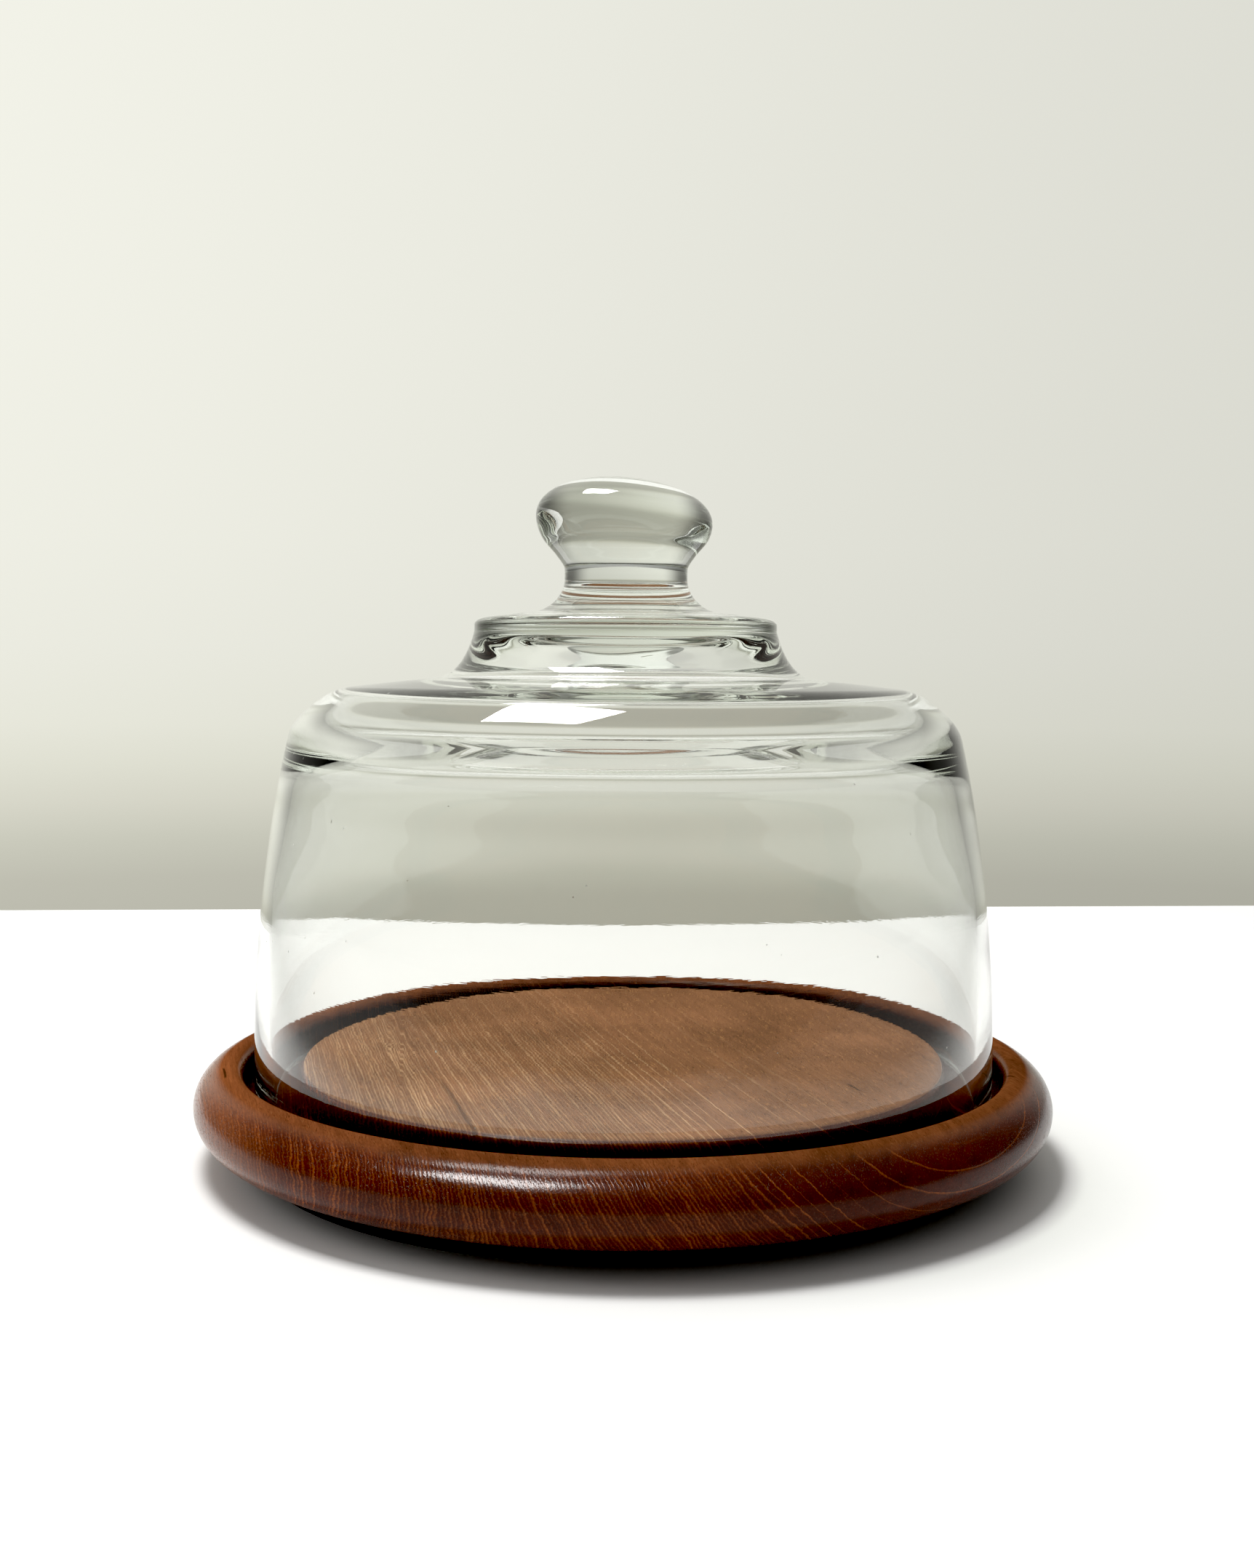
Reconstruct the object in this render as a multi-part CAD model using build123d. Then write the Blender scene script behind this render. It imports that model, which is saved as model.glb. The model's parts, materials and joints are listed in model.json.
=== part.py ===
from build123d import *
import os

# Glass cover on a turned teak board: a loose glass dome with a solid knob, standing in the board's groove.
#
# Frame: origin at the centre of the board's foot, on the table; +Z up, along the turning axis.
# Every outline lies in the XZ plane as (radius, height) and is turned a full circle about Z. Millimetres.

# Board: one disc of teak turned on a lathe
BOARD_RADIUS = 130.0  # widest point of the rim bead
RIM_TOP = 29.0
RIM_BOTTOM = 6.6  # lowest point of the bead, above the table
RIM_WIDTH = 23.8  # across the bead, inner to outer
PLATEAU_RADIUS = 98.8  # raised middle that carries the food
PLATEAU_TOP = 28.0
PLATEAU_BEVEL = 1.2
GROOVE_OUTER_RADIUS = 115.6
GROOVE_DEPTH = 10.0
GROOVE_CORNER = 2.5
RIM_INNER_ROUND = 3.5
FOOT_RADIUS = 112.0
FOOT_RING_WIDTH = 14.0
FOOT_RECESS = 3.0
FOOT_ROUND = 1.2

# Dome: hollow blown glass, about 5 mm at its rim, thinnest halfway up and thickest in the shoulder
DOME_RADIUS = 112.5
DOME_RIM_ROUND = 2.0
SHOULDER = (101.8, 126.5)  # where the side starts to turn over
SHOULDER_MIDDLE = (94.6, 135.8)
CROWN_EDGE = (83.5, 141.2)  # outer end of the nearly flat crown
COLLAR_FOOT = (57.0, 144.3)  # where the crown sweeps up into the collar
COLLAR_RADIUS = 46.2
COLLAR_HEIGHT = 160.5  # level at which knob and dome are joined
COLLAR_LIP = 2.2
INNER_RIM_RADIUS = 107.5
INNER_SIDE = [(107.7, 45), (106.95, 65), (105.8, 78), (103.9, 90), (101.4, 103), (98.9, 115.5)]  # going up
INNER_SHOULDER = (90.1, 129.4)
INNER_CROWN = [(83.3, 135.5), (57.0, 136.9)]
HOLLOW = [(43.2, 144.6), (24.0, 153.7)]  # hollow inside the collar, up to its flat ceiling

# Knob: solid glass with a spreading foot, joined to the collar while hot
KNOB_RADIUS = 26.8
KNOB_EQUATOR = 192.1
KNOB_TOP = 205.0
KNOB_FULLNESS = 0.723  # where the top's outline crosses its diagonal; 0.707 would be a plain ellipse
KNOB_UNDERSIDE = [(25.3, 186.6), (21.1, 181.4)]
NECK_RADIUS = 18.7
NECK_BOTTOM = 174.0
NECK_TOP = 177.5
KNOB_FOOT = [(37.2, 163.0), (24.3, 165.6)]


def turned(section):
    """Flat section drawn as (radius, height), stood up and revolved about Z."""
    return revolve(Plane.XZ * section, Axis.Z)


def reverse(direction):
    return (-direction[0], -direction[1])


def teak_board():
    bead_half_width = RIM_WIDTH / 2
    bead_half_height = (RIM_TOP - RIM_BOTTOM) / 2
    bead_centre = (BOARD_RADIUS - bead_half_width, (RIM_TOP + RIM_BOTTOM) / 2)
    groove_floor = PLATEAU_TOP - GROOVE_DEPTH
    foot_inner = FOOT_RADIUS - FOOT_RING_WIDTH

    bead = Pos(*bead_centre) * Ellipse(bead_half_width, bead_half_height)
    body = Polyline(
        (0, FOOT_RECESS),
        (foot_inner - FOOT_RECESS, FOOT_RECESS),
        (foot_inner, 0),
        (FOOT_RADIUS, 0),
        (FOOT_RADIUS, bead_centre[1]),
        (bead_centre[0], bead_centre[1]),
        (bead_centre[0], PLATEAU_TOP),
        (0, PLATEAU_TOP),
        close=True,
    )
    groove = Pos((PLATEAU_RADIUS + GROOVE_OUTER_RADIUS) / 2, groove_floor + RIM_TOP / 2) * Rectangle(
        GROOVE_OUTER_RADIUS - PLATEAU_RADIUS, RIM_TOP
    )
    section = make_face(body) + bead - groove

    def corner(radius, height):
        return section.vertices().sort_by_distance((radius, height))[0]

    section = fillet(
        [corner(PLATEAU_RADIUS, groove_floor), corner(GROOVE_OUTER_RADIUS, groove_floor)], GROOVE_CORNER
    )
    section = fillet(corner(GROOVE_OUTER_RADIUS, RIM_TOP), RIM_INNER_ROUND)
    section = fillet(corner(FOOT_RADIUS, 0), FOOT_ROUND)
    section = chamfer(corner(PLATEAU_RADIUS, PLATEAU_TOP), PLATEAU_BEVEL)
    return turned(section)


def glass_dome():
    rim = PLATEAU_TOP - GROOVE_DEPTH
    middle = (DOME_RADIUS - 2.0, (rim + SHOULDER[1]) / 2)
    side_lean = (-0.24, 1)  # direction of the side where it meets the shoulder
    crown_slope = (-1, 0.1)
    inner_lean = (-0.3, 1)
    inner_slope = (-1, 0.053)

    outer_side = Spline((DOME_RADIUS, rim), middle, SHOULDER, tangents=((0, 1), side_lean))
    outer_shoulder = Spline(SHOULDER, SHOULDER_MIDDLE, CROWN_EDGE, tangents=(side_lean, crown_slope))
    outer_crown = Line(CROWN_EDGE, COLLAR_FOOT)
    cove = Spline(
        COLLAR_FOOT, (COLLAR_RADIUS, COLLAR_HEIGHT - COLLAR_LIP), tangents=(crown_slope, side_lean)
    )
    lip = Line(cove @ 1, (COLLAR_RADIUS, COLLAR_HEIGHT))
    joint_face = Line(lip @ 1, (0, COLLAR_HEIGHT))
    ceiling_height = HOLLOW[-1][1]
    axis = Line(joint_face @ 1, (0, ceiling_height))
    ceiling = Line((0, ceiling_height), HOLLOW[-1])
    hollow = Spline(HOLLOW[-1], HOLLOW[0], INNER_CROWN[1], tangents=((1, 0), reverse(inner_slope)))
    inner_crown = Line(INNER_CROWN[1], INNER_CROWN[0])
    inner_shoulder = Spline(
        INNER_CROWN[0], INNER_SHOULDER, INNER_SIDE[-1],
        tangents=(reverse(inner_slope), reverse(inner_lean)),
    )
    inner_side = Spline(
        *INNER_SIDE[::-1], (INNER_RIM_RADIUS, rim), tangents=(reverse(inner_lean), (0, -1))
    )
    foot = Line(inner_side @ 1, outer_side @ 0)
    section = make_face(
        outer_side + outer_shoulder + outer_crown + cove + lip + joint_face + axis + ceiling
        + hollow + inner_crown + inner_shoulder + inner_side + foot
    )
    rim_corners = section.vertices().filter_by_position(Axis.Y, rim - 0.1, rim + 0.1)
    return turned(fillet(rim_corners, DOME_RIM_ROUND))


def glass_knob():
    edge = Line((0, COLLAR_HEIGHT), (COLLAR_RADIUS, COLLAR_HEIGHT))
    foot = Spline(edge @ 1, *KNOB_FOOT, (NECK_RADIUS, NECK_BOTTOM), tangents=((-0.6, 1), (0, 1)))
    neck = Line(foot @ 1, (NECK_RADIUS, NECK_TOP))
    underside = Spline(
        neck @ 1, *KNOB_UNDERSIDE[::-1], (KNOB_RADIUS, KNOB_EQUATOR), tangents=((0.3, 1), (0, 1))
    )
    rise = KNOB_TOP - KNOB_EQUATOR
    top = Spline(
        underside @ 1,
        (KNOB_FULLNESS * KNOB_RADIUS, KNOB_EQUATOR + KNOB_FULLNESS * rise),
        (0, KNOB_TOP),
        tangents=((0, 1), (-1, 0)),
    )
    axis = Line(top @ 1, edge @ 0)
    return turned(make_face(edge + foot + neck + underside + top + axis))


os.makedirs("parts", exist_ok=True)
for make in (teak_board, glass_dome, glass_knob):
    export_step(make(), f"parts/{make.__name__}.step")
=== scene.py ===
"""Looks for the glass dome on its turned teak board: both meshes, their materials, light and camera.

Everything is in metres in the row frame: origin under the board's centre on the table, +Z up. The visible
glass is one lathed mesh with true wall thickness, and the board is another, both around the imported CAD.
"""

import json
import math

import bpy
import numpy as np
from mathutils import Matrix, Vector


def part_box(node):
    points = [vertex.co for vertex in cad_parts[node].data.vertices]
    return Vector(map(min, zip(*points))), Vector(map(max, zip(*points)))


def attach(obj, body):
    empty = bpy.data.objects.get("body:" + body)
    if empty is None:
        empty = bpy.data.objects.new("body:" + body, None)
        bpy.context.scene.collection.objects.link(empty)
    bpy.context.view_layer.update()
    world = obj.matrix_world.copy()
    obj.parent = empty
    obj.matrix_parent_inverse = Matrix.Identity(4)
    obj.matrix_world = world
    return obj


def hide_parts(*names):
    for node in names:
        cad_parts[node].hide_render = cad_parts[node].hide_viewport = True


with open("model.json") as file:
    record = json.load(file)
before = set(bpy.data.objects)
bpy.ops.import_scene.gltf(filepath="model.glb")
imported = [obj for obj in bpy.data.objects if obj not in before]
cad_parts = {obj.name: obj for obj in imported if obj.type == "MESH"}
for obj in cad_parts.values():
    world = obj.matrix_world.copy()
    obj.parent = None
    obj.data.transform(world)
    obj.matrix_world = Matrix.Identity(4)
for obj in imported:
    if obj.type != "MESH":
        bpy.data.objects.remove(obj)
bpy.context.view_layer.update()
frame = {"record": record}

MM = 0.001

# ---------------------------------------------------------------- sizes read from the frame
_, board_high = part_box("teak_board")
dome_low, dome_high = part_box("glass_dome")
_, knob_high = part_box("glass_knob")
MOUNTS = {m["name"]: m for m in frame["record"]["mounts"]}

BOARD_RADIUS = board_high.x
RIM_TOP = board_high.z
PLATEAU_TOP = MOUNTS["plateau_face"]["pos_m"][2]
GROOVE_FLOOR = dome_low.z
DOME_RADIUS = dome_high.x
COLLAR_TOP = dome_high.z
COLLAR_RADIUS = knob_high.x
KNOB_TOP = knob_high.z

# ---------------------------------------------------------------- the rest of the board's outline
RIM_BOTTOM = 6.6 * MM
RIM_WIDTH = 23.8 * MM
PLATEAU_RADIUS = 98.8 * MM
PLATEAU_BEVEL = 1.2 * MM
GROOVE_OUTER_RADIUS = 115.6 * MM
GROOVE_CORNER = 2.5 * MM
RIM_INNER_ROUND = 3.5 * MM
FOOT_RADIUS = 112.0 * MM
FOOT_INNER_RADIUS = 98.0 * MM
FOOT_RECESS = 3.0 * MM
FOOT_ROUND = 1.0 * MM

# ---------------------------------------------------------------- the rest of the glass's outline
# The lists are (radius, height) points in millimetres; in_metres() turns them into metres.
GLASS_RIM_ROUND = 2.0 * MM
SHOULDER = (101.8 * MM, 126.5 * MM)
SHOULDER_MIDDLE = (94.6 * MM, 135.8 * MM)
CROWN_EDGE = (83.5 * MM, 141.2 * MM)
COLLAR_FOOT = (57.0 * MM, 144.3 * MM)
COLLAR_LIP = 2.2 * MM
INNER_SIDE = [(107.5, 20), (107.7, 45), (106.95, 65), (105.8, 78), (103.9, 90), (101.4, 103), (98.9, 115.5)]
INNER_SHOULDER = (90.1, 129.4)
INNER_CROWN = [(83.3, 135.5), (57.0, 136.9)]
HOLLOW = [(57.0, 136.9), (43.2, 144.6), (24.0, 153.7)]
KNOB_RADIUS = 26.8 * MM
KNOB_EQUATOR = 192.1 * MM
KNOB_FULLNESS = 2.14  # exponent of the top's outline; 2 would be a plain ellipse
KNOB_UNDERSIDE = [(25.3, 186.6), (21.1, 181.4)]
NECK_RADIUS = 18.7 * MM
NECK = (174.0 * MM, 177.5 * MM)
KNOB_FOOT = [(24.3, 165.6), (37.2, 163.0)]
SEAM_AZIMUTH = math.radians(-30.0)  # mould seam, seen from the front, to the left
SEAM_HEIGHT = 0.006 * MM
KNOB_SHIFT = 1.2 * MM  # the knob sits off centre, to the left
KNOB_TILT = 0.05  # and leans to the right

# ---------------------------------------------------------------- how the teak plank was cut
GRAIN_ANGLE = math.radians(-74.0)  # the grain runs from back left to front right
GRAIN = (math.cos(GRAIN_ANGLE), math.sin(GRAIN_ANGLE), 0)
ACROSS = (-math.sin(GRAIN_ANGLE), math.cos(GRAIN_ANGLE), 0)
PITH_ACROSS = 64.0  # millimetres, how far the heart of the tree lay beside the board's axis
PITH_HEIGHT = 73.0  # millimetres, and above the table


# ================================================================ outlines
def spline(points, start, end, step=1.2 * MM):
    """Smooth curve through (radius, height) points, leaving along start and arriving along end."""
    p = [Vector(q) for q in points]
    through = [(b - a).normalized() for a, b in zip(p[:-2], p[2:])]
    tangents = [Vector(start).normalized(), *through, Vector(end).normalized()]
    out = [p[0]]
    for i in range(len(p) - 1):
        chord = (p[i + 1] - p[i]).length
        count = max(3, round(chord / step))
        for k in range(1, count + 1):
            t = k / count
            a = (1 + 2 * t) * (1 - t) ** 2 * p[i] + t * t * (3 - 2 * t) * p[i + 1]
            b = t * (1 - t) ** 2 * tangents[i] - t * t * (1 - t) * tangents[i + 1]
            out.append(a + chord * b)
    return out


def line(a, b, step=2.0 * MM):
    """Straight stretch from a to b, both ends included."""
    a, b = Vector(a), Vector(b)
    count = max(1, round((b - a).length / step))
    return [a.lerp(b, k / count) for k in range(count + 1)]


def arc(centre, radii, start_deg, end_deg, count):
    """Part of an ellipse with its axes along radius and height."""
    turn = [math.radians(start_deg + (end_deg - start_deg) * k / count) for k in range(count + 1)]
    return [Vector((centre[0] + radii[0] * math.cos(t), centre[1] + radii[1] * math.sin(t))) for t in turn]


def knob_top():
    """From the pole to the equator of the knob, a little fuller than an ellipse."""
    power = 2 / KNOB_FULLNESS
    rise = KNOB_TOP - KNOB_EQUATOR
    count = 44
    outline = [Vector((0, KNOB_TOP))]
    for k in range(1, count + 1):
        turn = math.radians(90 - 90 * k / count)
        radius = KNOB_RADIUS * math.cos(turn) ** power
        outline.append(Vector((radius, KNOB_EQUATOR + rise * math.sin(turn) ** power)))
    return outline


def joined(*runs):
    """One outline from several runs, with repeated end points dropped."""
    out = []
    for point in (p for run in runs for p in run):
        if not out or (point - out[-1]).length > 1e-6:
            out.append(point)
    return out


def board_outline():
    """From the plateau's centre, over the rim, to the centre of the underside."""
    bevel = PLATEAU_BEVEL
    bead = (BOARD_RADIUS - RIM_WIDTH / 2, (RIM_TOP + RIM_BOTTOM) / 2)
    radii = (RIM_WIDTH / 2, (RIM_TOP - RIM_BOTTOM) / 2)
    corner = GROOVE_CORNER
    foot_edge = FOOT_ROUND
    lip = RIM_INNER_ROUND
    inner_edge = math.degrees(math.acos((GROOVE_OUTER_RADIUS + lip - bead[0]) / radii[0]))
    lip_centre = (GROOVE_OUTER_RADIUS + lip, bead[1] + radii[1] * math.sin(math.radians(inner_edge)) - lip)
    return joined(
        line((0, PLATEAU_TOP), (PLATEAU_RADIUS - bevel, PLATEAU_TOP)),
        line((PLATEAU_RADIUS - bevel, PLATEAU_TOP), (PLATEAU_RADIUS, PLATEAU_TOP - bevel), 0.6 * MM),
        line((PLATEAU_RADIUS, PLATEAU_TOP - bevel), (PLATEAU_RADIUS, GROOVE_FLOOR + corner), 1 * MM),
        arc((PLATEAU_RADIUS + corner, GROOVE_FLOOR + corner), (corner, corner), 180, 270, 6),
        arc((GROOVE_OUTER_RADIUS - corner, GROOVE_FLOOR + corner), (corner, corner), 270, 360, 6),
        line((GROOVE_OUTER_RADIUS, GROOVE_FLOOR + corner), (GROOVE_OUTER_RADIUS, lip_centre[1]), 1 * MM),
        arc(lip_centre, (lip, lip), 180, 95, 8),
        arc(bead, radii, inner_edge, -90, 60),
        line((bead[0], RIM_BOTTOM), (FOOT_RADIUS, RIM_BOTTOM)),
        spline([(FOOT_RADIUS, RIM_BOTTOM), (FOOT_RADIUS, foot_edge)], (-0.3, -1), (0.1, -1)),
        arc((FOOT_RADIUS - foot_edge, foot_edge), (foot_edge, foot_edge), 0, -90, 5),
        line((FOOT_RADIUS - foot_edge, 0), (FOOT_INNER_RADIUS, 0)),
        line((FOOT_INNER_RADIUS, 0), (FOOT_INNER_RADIUS - FOOT_RECESS, FOOT_RECESS), 1 * MM),
        line((FOOT_INNER_RADIUS - FOOT_RECESS, FOOT_RECESS), (0, FOOT_RECESS), 4 * MM),
    )


def in_metres(points):
    return [(radius * MM, height * MM) for radius, height in points]


def glass_outline():
    """From the knob's top down the outside, round the rim, up the inside to the hollow's ceiling."""
    side_lean = (0.24, -1)
    inner_lean = (-0.3, 1)
    inner_slope = (-1, 0.053)
    crown_slope = (1, -0.1)
    rim = GROOVE_FLOOR + 0.05 * MM
    middle = (rim + SHOULDER[1]) / 2
    belly = DOME_RADIUS - 2 * MM  # radius halfway up the side
    r = GLASS_RIM_ROUND
    neck_bottom, neck_top = NECK
    lip_bottom = COLLAR_TOP - COLLAR_LIP
    inner_side, inner_crown, hollow = in_metres(INNER_SIDE), in_metres(INNER_CROWN), in_metres(HOLLOW)
    inner_shoulder = [inner_side[-1], *in_metres([INNER_SHOULDER]), inner_crown[0]]
    return joined(
        knob_top(),
        spline(
            [(KNOB_RADIUS, KNOB_EQUATOR), *in_metres(KNOB_UNDERSIDE), (NECK_RADIUS, neck_top)],
            (0, -1), (-0.3, -1), 0.7 * MM,
        ),
        line((NECK_RADIUS, neck_top), (NECK_RADIUS, neck_bottom), 1 * MM),
        spline(
            [(NECK_RADIUS, neck_bottom), *in_metres(KNOB_FOOT), (COLLAR_RADIUS, COLLAR_TOP)],
            (0, -1), (0.6, -1), 0.7 * MM,
        ),
        line((COLLAR_RADIUS, COLLAR_TOP), (COLLAR_RADIUS, lip_bottom), 0.7 * MM),
        spline([(COLLAR_RADIUS, lip_bottom), COLLAR_FOOT], side_lean, crown_slope, 0.7 * MM),
        line(COLLAR_FOOT, CROWN_EDGE, 1.5 * MM),
        spline([CROWN_EDGE, SHOULDER_MIDDLE, SHOULDER], crown_slope, side_lean, 0.8 * MM),
        spline([SHOULDER, (belly, middle), (DOME_RADIUS, rim + r)], side_lean, (0, -1), 2 * MM),
        arc((DOME_RADIUS - r, rim + r), (r, r), 0, -90, 6),
        arc((inner_side[0][0] + r, rim + r), (r, r), 270, 180, 6),
        spline(inner_side, (0, 1), inner_lean, 1.5 * MM),
        spline(inner_shoulder, inner_lean, inner_slope, 0.8 * MM),
        line(*inner_crown, 1.5 * MM),
        spline(hollow, inner_slope, (-1, 0), 0.7 * MM),
        line(hollow[-1], (0, hollow[-1][1])),
    )


# ================================================================ meshes
def turn_angles(count, fine_at=()):
    """Even steps round the circle, with finer ones near the angles in fine_at."""
    angles = {round(2 * math.pi * k / count, 6) for k in range(count)}
    for centre in fine_at:
        angles |= {round((centre + math.radians(d)) % (2 * math.pi), 6) for d in np.arange(-2, 2.01, 0.2)}
    return np.array(sorted(angles))


def lathe(name, outline, angles, shape):
    """Closed mesh: outline starts and ends on the axis, is turned about Z, then shape moves its points."""
    radius = np.array([p[0] for p in outline[1:-1]])
    height = np.array([p[1] for p in outline[1:-1]])
    r, a = np.meshgrid(radius, angles)
    z, _ = np.meshgrid(height, angles)
    ends = np.array([[0, 0, outline[0][1]], [0, 0, outline[-1][1]]])
    ring = np.stack([r * np.sin(a), -r * np.cos(a), z], axis=-1).reshape(-1, 3)
    points = shape(np.concatenate([ring, ends]), np.concatenate([r.ravel(), [0, 0]]))
    rows, cols = len(angles), len(radius)
    top, bottom = rows * cols, rows * cols + 1
    faces = []
    for i in range(rows):
        n = (i + 1) % rows
        faces.append((top, i * cols, n * cols))
        faces += [(i * cols + k, i * cols + k + 1, n * cols + k + 1, n * cols + k) for k in range(cols - 1)]
        faces.append((bottom, n * cols + cols - 1, i * cols + cols - 1))
    mesh = bpy.data.meshes.new(name)
    mesh.from_pydata(points.tolist(), [], faces)
    mesh.validate()
    mesh.polygons.foreach_set("use_smooth", [True] * len(mesh.polygons))
    piece = bpy.data.objects.new(name, mesh)
    bpy.context.scene.collection.objects.link(piece)
    return piece


def ripple(azimuth, z, waves):
    """Sum of slow waves (amplitude in mm, waves round the circle, wavelength up in mm, phase)."""
    return sum(
        amp * MM * np.sin(turns * azimuth + 2 * math.pi * z / (pitch * MM) + phase)
        for amp, turns, pitch, phase in waves
    )


def smooth_step(low, high, value):
    t = np.clip((value - low) / (high - low), 0, 1)
    return t * t * (3 - 2 * t)


OUTSIDE_WAVES = [(0.15, 2, 310, 0.4), (0.025, 3, 95, 2.1), (0.006, 7, 41, 0.9), (0.002, 13, 23, 4.0)]
INSIDE_WAVES = [(0.12, 2, 270, 2.9), (0.03, 3, 74, 1.3), (0.008, 5, 33, 5.2), (0.002, 11, 19, 0.3)]


def blown_glass(points, radius, inside):
    """Small unevenness of mould-blown glass, a mould seam on the outside, and a slightly tilted knob."""
    x, y, z = points.T.copy()
    azimuth = np.arctan2(x, -y)
    swell = np.where(inside, ripple(azimuth, z, INSIDE_WAVES), ripple(azimuth, z, OUTSIDE_WAVES))
    swell *= smooth_step(GROOVE_FLOOR, GROOVE_FLOOR + 12 * MM, z) * smooth_step(0, 20 * MM, radius)
    off_seam = radius * np.abs(np.sin(azimuth - SEAM_AZIMUTH))
    seam = SEAM_HEIGHT * np.exp(-((off_seam / (0.7 * MM)) ** 2)) * ~inside * (radius > 6 * MM)
    scale = 1 + (swell + seam) / np.maximum(radius, 1 * MM)
    lift = ripple(azimuth, radius, INSIDE_WAVES) * 0.6 * smooth_step(SHOULDER[1], CROWN_EDGE[1], z)
    lift *= smooth_step(0, 20 * MM, radius)
    on_knob = smooth_step(NECK[1], KNOB_TOP, z)
    moved = [x * scale - KNOB_SHIFT * on_knob, y * scale, z + lift - KNOB_TILT * x * on_knob]
    return np.stack(moved, axis=-1)


def turned_wood(points, radius):
    """Faint lathe and wear unevenness of the board; the foot and the groove floor stay flat."""
    x, y, z = points.T.copy()
    azimuth = np.arctan2(x, -y)
    worn = ripple(azimuth, z, [(0.12, 2, 400, 0.6), (0.06, 5, 300, 1.9), (0.03, 11, 250, 3.3)])
    worn *= smooth_step(GROOVE_OUTER_RADIUS, GROOVE_OUTER_RADIUS + 4 * MM, radius)
    scale = 1 + worn / np.maximum(radius, 1 * MM)
    sag = ripple(azimuth, radius, [(0.10, 2, 260, 1.1), (0.05, 3, 90, 0.2)])
    sag *= smooth_step(0, 30 * MM, radius) * (z > GROOVE_FLOOR + 5 * MM)
    return np.stack([x * scale, y * scale, z + sag], axis=-1)


# ================================================================ shader helpers
class Nodes:
    """Short way to write a node tree: node() makes a node and feeds it values or other nodes' outputs."""

    def __init__(self, tree):
        self.tree = tree
        tree.nodes.clear()

    def node(self, kind, inputs=None, **settings):
        made = self.tree.nodes.new(kind)
        for key, value in settings.items():
            setattr(made, key, value)
        for key, value in (inputs or {}).items():
            if isinstance(value, bpy.types.NodeSocket):
                self.tree.links.new(value, made.inputs[key])
            else:
                made.inputs[key].default_value = value
        return made

    def math(self, operation, a, b=0.0, c=0.0, clamp=False):
        made = self.node("ShaderNodeMath", {0: a, 1: b, 2: c}, operation=operation, use_clamp=clamp)
        return made.outputs[0]

    def times(self, a, b, clamp=False):
        return self.math("MULTIPLY", a, b, clamp=clamp)

    def times_plus(self, a, b, c, clamp=False):
        """a * b + c"""
        return self.math("MULTIPLY_ADD", a, b, c, clamp=clamp)

    def vector(self, operation, a, b=(0, 0, 0)):
        made = self.node("ShaderNodeVectorMath", {0: a, 1: b}, operation=operation)
        return made.outputs["Value" if operation in ("DOT_PRODUCT", "LENGTH", "DISTANCE") else "Vector"]

    def millimetres(self):
        """The piece's own coordinates, in millimetres."""
        return self.scaled(self.node("ShaderNodeTexCoord").outputs["Object"], 1000.0)

    def scaled(self, vector, factor):
        inputs = {0: vector, "Scale": factor}
        return self.node("ShaderNodeVectorMath", inputs, operation="SCALE").outputs[0]

    def combine(self, x, y, z):
        return self.node("ShaderNodeCombineXYZ", {0: x, 1: y, 2: z}).outputs[0]

    def noise(self, vector, scale, detail=2.0, roughness=0.5):
        inputs = {"Vector": vector, "Scale": scale, "Detail": detail, "Roughness": roughness}
        return self.node("ShaderNodeTexNoise", inputs).outputs[0]

    def random(self, number):
        """A random value between 0 and 1 for each whole number."""
        return self.node("ShaderNodeTexWhiteNoise", {"W": number}, noise_dimensions="1D").outputs[0]

    def step(self, value, low, high, out_low=0.0, out_high=1.0):
        """Smooth change from out_low to out_high as value goes from low to high."""
        inputs = {0: value, 1: low, 2: high, 3: out_low, 4: out_high}
        return self.node("ShaderNodeMapRange", inputs, interpolation_type="SMOOTHSTEP").outputs[0]

    def mix(self, factor, a, b, blend="MIX"):
        made = self.node("ShaderNodeMix", {"Factor": factor}, data_type="RGBA", blend_type=blend)
        for socket, value in ((made.inputs[6], a), (made.inputs[7], b)):
            if isinstance(value, bpy.types.NodeSocket):
                self.tree.links.new(value, socket)
            else:
                socket.default_value = (*value, 1)
        return made.outputs[2]

    def ramp(self, value, stops):
        made = self.node("ShaderNodeValToRGB", {0: value})
        elements = made.color_ramp.elements
        while len(elements) < len(stops):
            elements.new(1)
        for element, (place, colour) in zip(elements, stops):
            element.position = place
            element.color = (*colour, 1)
        return made.outputs[0]


def new_material(name):
    material = bpy.data.materials.new(name)
    material.use_nodes = True
    return material, Nodes(material.node_tree)


# ================================================================ materials
# Inside the materials, lengths are millimetres.
RINGS_CLOSER = 84.0  # beyond this distance from the tree's heart the rings lie closer together
RINGS_START = 50.0  # nearer the heart than this, no ring shows

# checks and one dark gum streak: (across, along, half length, half width, how dark)
CHECKS = [
    (-121.0, 0.0, 8.0, 0.45, 0.8),
    (-61.0, 55.0, 40.0, 0.9, 0.45),
    (-62.0, -10.0, 75.0, 0.6, 0.22),
    (100.0, 60.0, 6.0, 0.4, 0.8),
    (106.0, 40.0, 4.0, 0.35, 0.8),
    (50.0, 62.0, 5.0, 0.5, 0.7),
]


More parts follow.
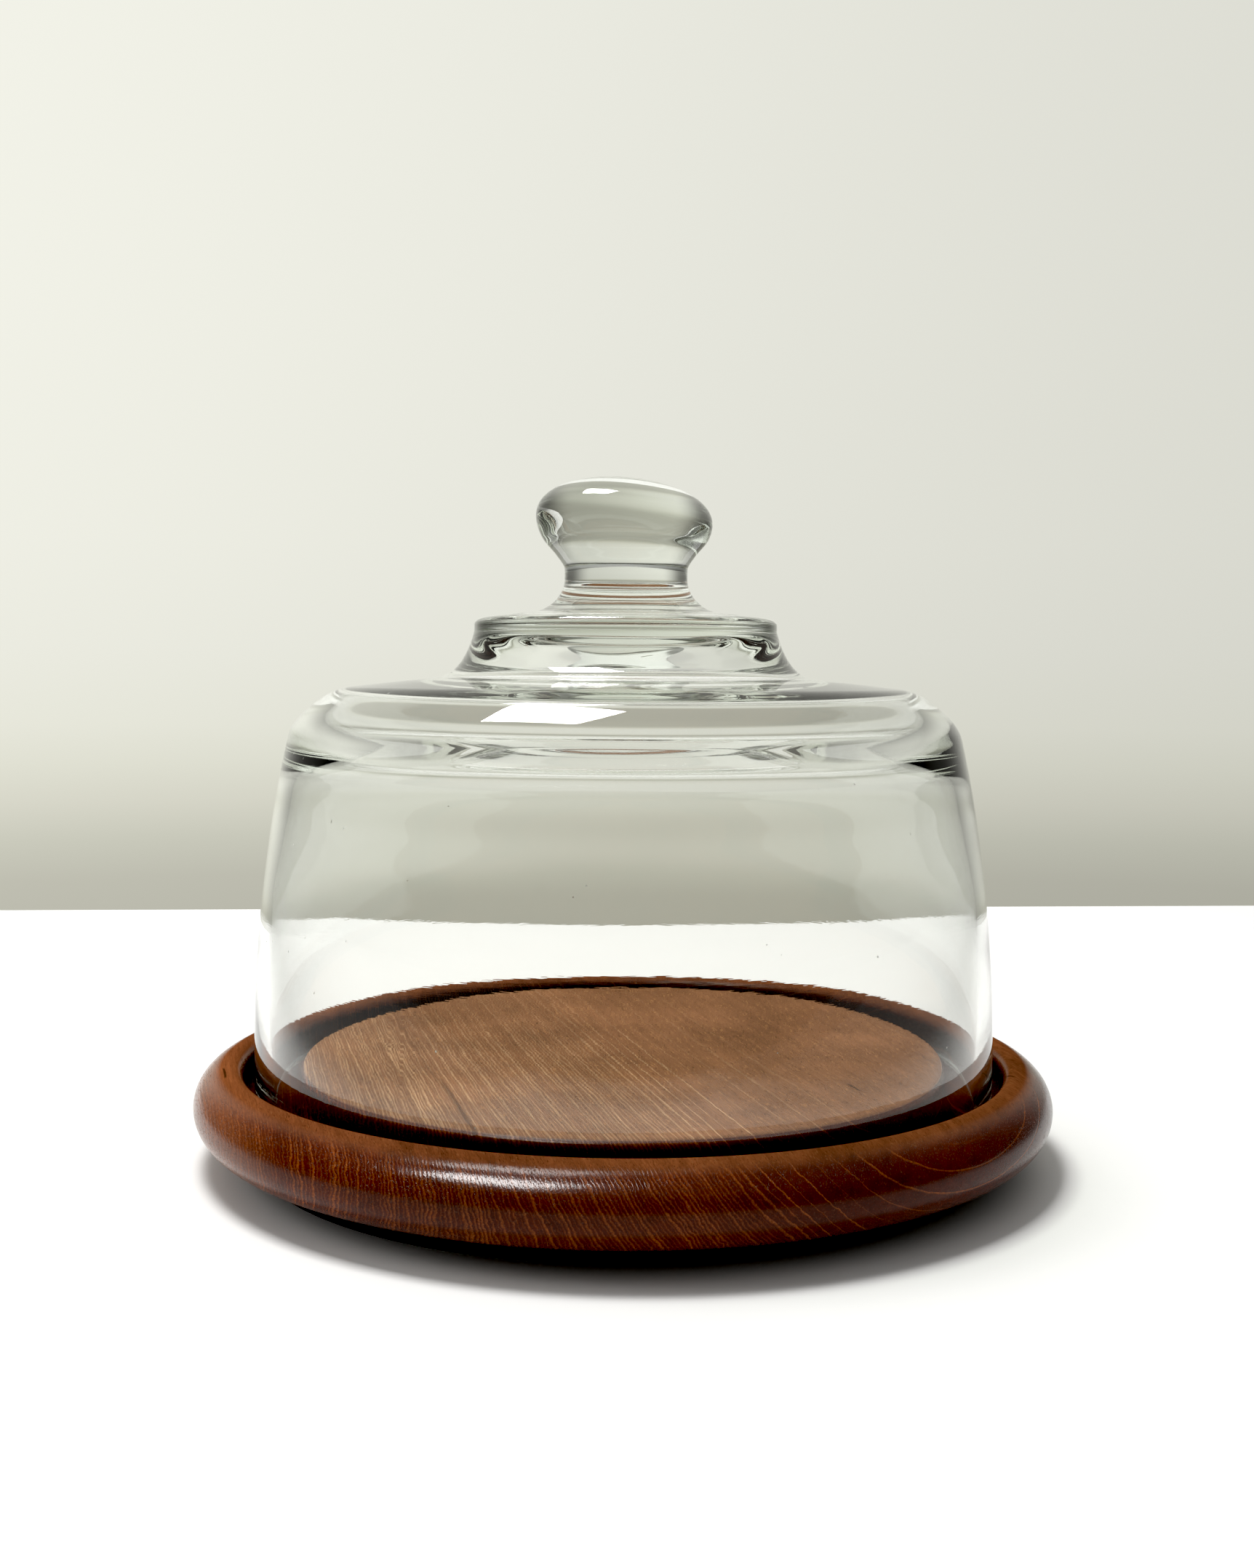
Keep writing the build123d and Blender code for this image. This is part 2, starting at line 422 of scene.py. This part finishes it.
def growth_rings(n, along, across, height):
    """Rings about the tree's heart: a pale line at each, its year's strength, and how closely they lie."""
    slow = n.combine(n.times(along, 0.12), across, height)
    wander = n.math("SUBTRACT", n.noise(slow, 0.022, 2.0), 0.5)
    quick_wander = n.math("SUBTRACT", n.noise(slow, 0.30, 3.0, 0.65), 0.5)
    a = n.math("SUBTRACT", n.times_plus(wander, 8.0, across), PITH_ACROSS)
    a = n.times_plus(quick_wander, 2.2, a)
    flatten = n.step(n.math("ABSOLUTE", a), 80.0, 175.0, 1.0, 0.3)
    h = n.times(n.math("SUBTRACT", height, PITH_HEIGHT), flatten)
    from_heart = n.math("SQRT", n.math("ADD", n.times(a, a), n.times(h, h)))
    beyond = n.math("SUBTRACT", from_heart, RINGS_CLOSER)
    bend = n.math("SQRT", n.times_plus(beyond, beyond, 60.0))
    rings = n.times_plus(n.math("ADD", beyond, bend), 0.52, n.times(from_heart, 0.16))
    rate = n.times_plus(n.math("DIVIDE", beyond, bend), 0.52, 0.68)
    narrow = n.step(rate, 0.30, 0.95)
    year = n.random(n.math("FLOOR", rings))
    since = n.math("FRACT", rings)
    width = n.times(n.times_plus(narrow, 0.38, 0.07), n.times_plus(year, 0.8, 0.6))
    line_start = n.step(since, 0.0, n.times(width, 0.35))
    line_end = n.step(since, n.times(width, 0.6), n.times(width, 1.5))
    pale_line = n.times(line_start, n.math("SUBTRACT", 1.0, line_end))
    pale_line = n.times(pale_line, n.step(from_heart, RINGS_START - 3.0, RINGS_START))
    return pale_line, year, narrow, quick_wander


def board_zones(n, radius, height):
    """How far a point is on the plateau, in the groove, on the rim top or underneath, 0 to 1; the groove
    and the underside take painted shade, the rim top wear and a painted sheen.
    """
    plateau_height = PLATEAU_TOP / MM - 0.6
    plateau_edge = (PLATEAU_RADIUS - PLATEAU_BEVEL) / MM
    groove_edge = GROOVE_OUTER_RADIUS / MM
    on_plateau = n.times(
        n.step(radius, plateau_edge + 0.8, plateau_edge),
        n.step(height, plateau_height, plateau_height + 0.3),
    )
    over_groove = n.times(
        n.step(radius, plateau_edge, plateau_edge + 1.2),
        n.step(radius, groove_edge + 0.6, groove_edge),
    )
    in_groove = n.times(over_groove, n.step(height, plateau_height - 0.2, plateau_height - 2.2))
    worn = n.times(n.step(height, 25.8, 28.4), n.step(radius, groove_edge - 1.0, groove_edge))
    under = n.step(height, 9.0, 5.5)
    return on_plateau, in_groove, worn, under


def wood_checks(n, along, across, quick_wander):
    """The marks listed in CHECKS, each a thin line along the grain, 0 to 1."""
    marks = 0.0
    wavy_across = n.times_plus(quick_wander, 1.2, across)
    for mark_across, mark_along, half_length, half_width, depth in CHECKS:
        offset = n.math("ABSOLUTE", n.math("SUBTRACT", wavy_across, mark_across))
        reach = n.math("ABSOLUTE", n.math("SUBTRACT", along, mark_along))
        mark = n.times(
            n.step(offset, half_width, half_width * 0.3), n.step(reach, half_length, half_length * 0.5)
        )
        marks = n.math("MAXIMUM", marks, n.times(mark, depth))
    return marks


def teak_material():
    """Oiled teak: growth rings about the tree's heart, fibres, pores, a drier plateau, a few checks."""
    material, n = new_material("teak")
    place = n.millimetres()
    along = n.vector("DOT_PRODUCT", place, GRAIN)
    across = n.vector("DOT_PRODUCT", place, ACROSS)
    height = n.vector("DOT_PRODUCT", place, (0, 0, 1))
    radius = n.vector("LENGTH", n.vector("MULTIPLY", place, (1, 1, 0)))
    pale_line, year, narrow, quick_wander = growth_rings(n, along, across, height)
    on_plateau, in_groove, worn, under = board_zones(n, radius, height)
    marks = wood_checks(n, along, across, quick_wander)

    fibre_place = n.combine(n.times(along, 0.03), across, height)
    fibres = n.noise(fibre_place, 2.4, 3.0, 0.6)
    streaks = n.noise(fibre_place, 0.35, 2.0, 0.5)
    pore_place = n.combine(n.times(along, 0.14), across, height)
    pores = n.step(n.noise(pore_place, 3.2, 1.0, 0.4), 0.62, 0.72)
    pale_pores = n.step(n.noise(pore_place, 2.3, 1.0, 0.4), 0.60, 0.72)
    blotches = n.noise(place, 0.03, 2.0)

    # ring lines: weaker where rings are close, in some years, on the flat-sawn side and where it's polished
    line_strength = n.times_plus(narrow, -0.25, 1.0)
    line_strength = n.times(line_strength, n.times_plus(year, 0.9, 0.30))
    line_strength = n.times(line_strength, n.times_plus(fibres, 2.4, -0.3))
    on_line = n.times(pale_line, line_strength, clamp=True)
    flat_sawn = n.times(on_plateau, n.step(across, 0.0, 30.0))
    on_plateau_line = n.times(on_line, n.times_plus(flat_sawn, -0.65, 1.0), clamp=True)
    polished_away = n.step(n.vector("DOT_PRODUCT", place, (0.35, 0.94, 0)), -30.0, 50.0, 1.0, 0.35)
    on_plateau_line = n.times(on_plateau_line, polished_away)
    # ring lines fade on the rim top, under its painted sheen
    on_line = n.times(on_line, n.times_plus(worn, -0.6, 1.0))

    oiled = n.mix(on_line, (0.064, 0.0085, 0.0013), (0.23, 0.060, 0.011))
    # rim top: paler colour for worn, dry wood and for a painted sheen; its gloss is turned off further down
    oiled = n.mix(n.times(worn, 0.7), oiled, (0.175, 0.064, 0.027))
    dry = n.mix(on_plateau_line, (0.210, 0.098, 0.050), (0.41, 0.250, 0.140))
    colour = n.mix(on_plateau, oiled, dry)
    streakiness = n.times_plus(on_plateau, -0.5, 0.9)
    tone = n.times_plus(blotches, 0.9, 0.52)
    tone = n.times(tone, n.times_plus(n.math("SUBTRACT", streaks, 0.5), streakiness, 1.0))
    tone = n.times(tone, n.times_plus(fibres, 0.8, 0.6))
    tone = n.times(tone, n.times_plus(pores, -0.4, 1.0))
    # painted shade: the groove's walls and floor are darkened in colour
    tone = n.times(tone, n.times_plus(in_groove, -0.72, 1.0))
    # painted shade: below the rim, the foot and underside are darkened almost to black
    tone = n.times(tone, n.times_plus(under, -0.93, 1.0))
    colour = n.mix(1.0, colour, n.combine(tone, tone, tone), "MULTIPLY")
    filled = n.times(pale_pores, n.times_plus(on_plateau, 0.35, 0.10))
    colour = n.mix(filled, colour, (0.42, 0.21, 0.09))

    # greyish patch low on the rim's right end: partly wear, partly a painted grazing sheen
    right_end = n.step(n.vector("DOT_PRODUCT", place, (0.985, 0.17, 0)), 123.0, 130.0)
    rubbed_and_sheen = n.times(right_end, n.step(height, 26.0, 20.0))
    rubbed_and_sheen = n.times(rubbed_and_sheen, n.step(n.noise(place, 0.25, 4.0, 0.7), 0.35, 0.65))
    colour = n.mix(n.times(rubbed_and_sheen, 0.45), colour, (0.15, 0.11, 0.09))
    # painted light: the rim's left end is brighter and oranger, on the side the light comes from
    painted_left_light = n.step(n.vector("DOT_PRODUCT", place, (-0.96, -0.28, 0)), 108.0, 127.0, 0.0, 0.5)
    painted_left_light = n.times(painted_left_light, n.times_plus(fibres, 1.6, 0.1))
    colour = n.mix(painted_left_light, colour, (0.29, 0.095, 0.034))
    colour = n.mix(marks, colour, (0.014, 0.007, 0.004))

    shine = n.times_plus(n.noise(place, 0.09, 3.0), 0.14, 0.09)
    shine = n.times_plus(on_plateau, 0.20, shine)
    shine = n.times_plus(pores, 0.25, shine)
    dull = n.math("MAXIMUM", in_groove, n.math("MAXIMUM", on_plateau, worn))
    gloss = n.times(n.math("SUBTRACT", 1.0, dull), 0.19)
    relief = n.times_plus(pores, -0.8, n.times(fibres, 0.5))
    relief = n.times_plus(pale_line, -0.25, relief)
    relief = n.times_plus(marks, -3.0, relief)
    bump = n.node("ShaderNodeBump", {"Strength": 0.8, "Distance": 0.00007, "Height": relief})
    surface = n.node(
        "ShaderNodeBsdfPrincipled",
        {"Base Color": colour, "Roughness": shine, "IOR": 1.47, "Specular IOR Level": gloss,
         "Normal": bump.outputs[0]},
    )
    n.node("ShaderNodeOutputMaterial", {"Surface": surface.outputs[0]})
    return material


def glass_material():
    """Clear soda glass: refracting, faintly grey-green through its depth, with dust and smudges on it."""
    material, n = new_material("glass")
    place = n.millimetres()
    smudges = n.step(n.noise(place, 0.035, 4.0, 0.65), 0.55, 0.8)
    cells = n.node("ShaderNodeTexVoronoi", {"Vector": place, "Scale": 0.11}, feature="F1")
    pick = n.node("ShaderNodeTexWhiteNoise", {"Vector": cells.outputs["Position"]}).outputs[0]
    sparse = n.step(pick, 0.72, 0.74)
    dust = n.times(n.step(cells.outputs["Distance"], 0.045, 0.02), sparse)
    film = n.times_plus(smudges, 0.02, 0.004)

    # fine level ridges round the lower half of the side, and a slow waviness everywhere
    around = n.scaled(n.vector("NORMALIZE", n.vector("MULTIPLY", place, (1, 1, 0))), DOME_RADIUS / MM)
    stretched = n.vector("ADD", n.scaled(around, 0.10), n.vector("MULTIPLY", place, (0, 0, 1)))
    ridges = n.noise(stretched, 2.2, 1.0)
    height = n.vector("DOT_PRODUCT", place, (0, 0, 1))
    ridged = n.step(height, 86.0, 76.0, 0.0, 0.6)
    relief = n.times_plus(ridges, ridged, n.noise(place, 0.12, 2.0, 0.5))
    bump = n.node("ShaderNodeBump", {"Strength": 1.0, "Distance": 0.000004, "Height": relief})
    clear = n.node(
        "ShaderNodeBsdfPrincipled",
        {"Base Color": (0.985, 0.992, 0.98, 1), "Roughness": film, "IOR": 1.51,
         "Transmission Weight": 1.0, "Normal": bump.outputs[0]},
    )
    speck = n.node("ShaderNodeBsdfDiffuse", {"Color": (0.75, 0.74, 0.7, 1)})
    dusty = n.node("ShaderNodeMixShader", {0: n.times(dust, 0.8), 1: clear.outputs[0], 2: speck.outputs[0]})

    path = n.node("ShaderNodeLightPath")
    lets_light_in = n.math("MAXIMUM", path.outputs["Is Shadow Ray"], path.outputs["Is Diffuse Ray"])
    passed = n.node("ShaderNodeBsdfTransparent", {"Color": (0.94, 0.95, 0.93, 1)})
    surface = n.node("ShaderNodeMixShader", {0: lets_light_in, 1: dusty.outputs[0], 2: passed.outputs[0]})
    depth = n.node("ShaderNodeVolumeAbsorption", {"Color": (0.62, 0.7, 0.58, 1), "Density": 6.0})
    n.node("ShaderNodeOutputMaterial", {"Surface": surface.outputs[0], "Volume": depth.outputs[0]})
    return material


# ================================================================ stage, light and camera
CAMERA_BACK = 515.0 * MM
CAMERA_HEIGHT = 117.0 * MM + PLATEAU_TOP
CAMERA_PITCH = math.radians(3.71)
CAMERA_ROLL = math.radians(-0.33)
CAMERA_YAW = math.radians(-0.05)
CAMERA_LENS = 38.4
TABLE_RADIUS = 4.0
TABLE_BEHIND = 0.522  # the table ends this far behind the object's axis
TABLE_SKEW = -0.068  # its far edge isn't quite square to the view
TABLE_SHADE = (0.10, 0.095, 0.09)  # the table's parts that lie out of view are in the room's shade
WINDOW_COLOUR = (1.0, 0.995, 0.985)
SIDE_WINDOW_COLOUR = (1.0, 0.99, 0.97)


def table_shade(n, place):
    """1 where the table is below the camera's view, or beside it in a reflection; 0 in view."""
    to_camera = {"vector_type": "POINT", "convert_from": "WORLD", "convert_to": "CAMERA"}
    seen_at = n.node("ShaderNodeVectorTransform", {0: place}, **to_camera).outputs[0]
    depth = n.math("MAXIMUM", n.vector("DOT_PRODUCT", seen_at, (0, 0, 1)), 0.01)
    drop = n.math("DIVIDE", n.vector("DOT_PRODUCT", seen_at, (0, -1, 0)), depth)
    aside = n.math("DIVIDE", n.math("ABSOLUTE", n.vector("DOT_PRODUCT", seen_at, (1, 0, 0))), depth)
    mirrored = n.node("ShaderNodeLightPath").outputs["Is Glossy Ray"]
    beside = n.times(n.step(aside, 0.42, 0.62, 0.0, 0.8), mirrored)
    return n.math("MAXIMUM", n.step(drop, 0.50, 0.66), beside)


def table_material():
    """White table top that ends in a straight far edge, whichever side it's seen from."""
    material, n = new_material("table_white")
    place = n.node("ShaderNodeTexCoord").outputs["Object"]
    colour = n.mix(n.noise(place, 9.0, 4.0), (0.80, 0.80, 0.795), (0.84, 0.84, 0.835))
    colour = n.mix(table_shade(n, place), colour, TABLE_SHADE)
    top = n.node("ShaderNodeBsdfPrincipled", {"Base Color": colour, "Roughness": 0.6})
    nothing = n.node("ShaderNodeBsdfTransparent")
    turn = {"vector_type": "VECTOR", "convert_from": "CAMERA", "convert_to": "WORLD"}
    forward = n.node("ShaderNodeVectorTransform", {0: (TABLE_SKEW, 0, 1)}, **turn).outputs[0]
    level = n.vector("MULTIPLY", forward, (1, 1, 0))
    flatness = n.math("MAXIMUM", n.vector("LENGTH", level), 0.4)
    edge = n.times(flatness, TABLE_BEHIND)
    past_edge = n.math("GREATER_THAN", n.vector("DOT_PRODUCT", place, level), edge)
    surface = n.node("ShaderNodeMixShader", {0: past_edge, 1: top.outputs[0], 2: nothing.outputs[0]})
    n.node("ShaderNodeOutputMaterial", {"Surface": surface.outputs[0]})
    return material


def add_table():
    """Large pale table under the object."""
    count = 64
    turn = [2 * math.pi * k / count for k in range(count)]
    mesh = bpy.data.meshes.new("table")
    ring = [(TABLE_RADIUS * math.cos(t), TABLE_RADIUS * math.sin(t), 0) for t in turn]
    mesh.from_pydata(ring, [], [tuple(range(count))])
    table = bpy.data.objects.new("table", mesh)
    table.data.materials.append(table_material())
    bpy.context.scene.collection.objects.link(table)


def light_world():
    """A room that turns with the camera: pale wall ahead, brighter ceiling, dim behind the camera."""
    world = bpy.data.worlds.new("room")
    world.use_nodes = True
    bpy.context.scene.world = world
    n = Nodes(world.node_tree)
    coordinates = n.node("ShaderNodeTexCoord")
    up = n.vector("DOT_PRODUCT", coordinates.outputs["Generated"], (0, 0, 1))
    right = n.vector("DOT_PRODUCT", coordinates.outputs["Camera"], (1, 0, 0))
    ahead = n.vector("DOT_PRODUCT", coordinates.outputs["Camera"], (0, 0, 1))
    wall_low, wall_high = -0.15, 0.40  # how far up, as a sine, the wall's shading begins and ends
    span = wall_high - wall_low
    wall = n.ramp(
        n.times_plus(up, 1 / span, -wall_low / span),
        [
            (0.00, (0.455, 0.450, 0.385)), (0.06, (0.485, 0.480, 0.410)), (0.10, (0.545, 0.545, 0.465)),
            (0.14, (0.630, 0.625, 0.540)), (0.18, (0.690, 0.690, 0.600)), (0.22, (0.735, 0.735, 0.650)),
            (0.30, (0.765, 0.765, 0.690)), (0.41, (0.790, 0.790, 0.715)), (0.64, (0.810, 0.810, 0.735)),
            (1.00, (0.825, 0.825, 0.750)),
        ],
    )
    side_shade = n.step(right, -0.6, 0.6, 1.12, 0.86)
    wall = n.mix(1.0, wall, n.combine(side_shade, side_shade, side_shade), "MULTIPLY")
    room = n.ramp(
        n.step(up, -0.2, 0.95),
        [
            (0.00, (0.045, 0.043, 0.040)), (0.30, (0.06, 0.058, 0.054)), (0.70, (0.20, 0.20, 0.19)),
            (1.00, (0.50, 0.50, 0.49)),
        ],
    )
    in_view = n.step(n.math("ABSOLUTE", right), 0.80, 0.40, 0.18, 1.0)
    seen = n.mix(n.times(n.step(ahead, 0.15, 0.65), in_view), room, wall)
    background = n.node("ShaderNodeBackground", {"Color": seen, "Strength": 1.0})
    n.node("ShaderNodeOutputWorld", {"Surface": background.outputs[0]})


def add_window(name, place, size, power, colour, in_reflections=True, shines_on=None):
    """Soft area light aimed at the board. With shines_on it only shows as a reflection on that piece."""
    light = bpy.data.lights.new(name, "AREA")
    light.shape = "RECTANGLE"
    light.size, light.size_y = size
    light.energy = power
    light.color = colour
    lamp = bpy.data.objects.new(name, light)
    lamp.location = place
    aim = Vector((0, 0, PLATEAU_TOP)) - Vector(place)
    lamp.rotation_euler = aim.to_track_quat("-Z", "Y").to_euler()
    lamp.visible_glossy = lamp.visible_transmission = in_reflections
    if shines_on:
        lamp.visible_diffuse = False
        lamp.light_linking.receiver_collection = bpy.data.collections.new(name + "_shines_on")
        lamp.light_linking.receiver_collection.objects.link(shines_on)
    bpy.context.scene.collection.objects.link(lamp)


def add_lights(board):
    add_window("window_above", (-0.50, 0.34, 2.30), (0.70, 0.80), 54, WINDOW_COLOUR)
    add_window("window_front", (-0.92, -0.95, 2.00), (1.1, 0.6), 130, WINDOW_COLOUR, shines_on=board)
    add_window("side_window", (-2.40, 0.10, 1.30), (1.4, 1.4), 20, SIDE_WINDOW_COLOUR, in_reflections=False)


def add_camera():
    data = bpy.data.cameras.new("camera")
    data.lens = CAMERA_LENS
    data.clip_start = 0.01
    camera = bpy.data.objects.new("camera", data)
    camera.location = (0, -CAMERA_BACK, CAMERA_HEIGHT)
    camera.rotation_euler = (math.radians(90) - CAMERA_PITCH, CAMERA_ROLL, CAMERA_YAW)
    bpy.context.scene.collection.objects.link(camera)
    bpy.context.scene.camera = camera


# ================================================================ build
def build_board():
    """The teak board, which stays where it stands."""
    board = lathe("turned_board", board_outline(), turn_angles(360), turned_wood)
    board.data.materials.append(teak_material())
    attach(board, "board")
    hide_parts("teak_board")
    return board


def build_cover():
    """Dome and knob as one glass piece, which lifts off."""
    outline = glass_outline()
    seams = [SEAM_AZIMUTH, SEAM_AZIMUTH + math.pi]
    angles = turn_angles(256, seams)
    lowest = min(range(len(outline)), key=lambda k: outline[k][1])
    columns = np.arange(1, len(outline) - 1) > lowest
    inside = np.concatenate([np.tile(columns, len(angles)), [False, True]])

    def shape(points, radius):
        return blown_glass(points, radius, inside)

    cover = lathe("glass_cover", outline, angles, shape)
    cover.data.materials.append(glass_material())
    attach(cover, "cover")
    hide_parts("glass_dome", "glass_knob")


board = build_board()
build_cover()
add_table()
light_world()
add_lights(board)
add_camera()

scene = bpy.context.scene
scene.view_settings.view_transform = "Standard"
scene.view_settings.use_curve_mapping = True
scene.view_settings.curve_mapping.black_level = (0.012, 0.012, 0.012)
scene.cycles.max_bounces = 24
scene.cycles.transmission_bounces = 20
scene.cycles.glossy_bounces = 12
scene.cycles.transparent_max_bounces = 24
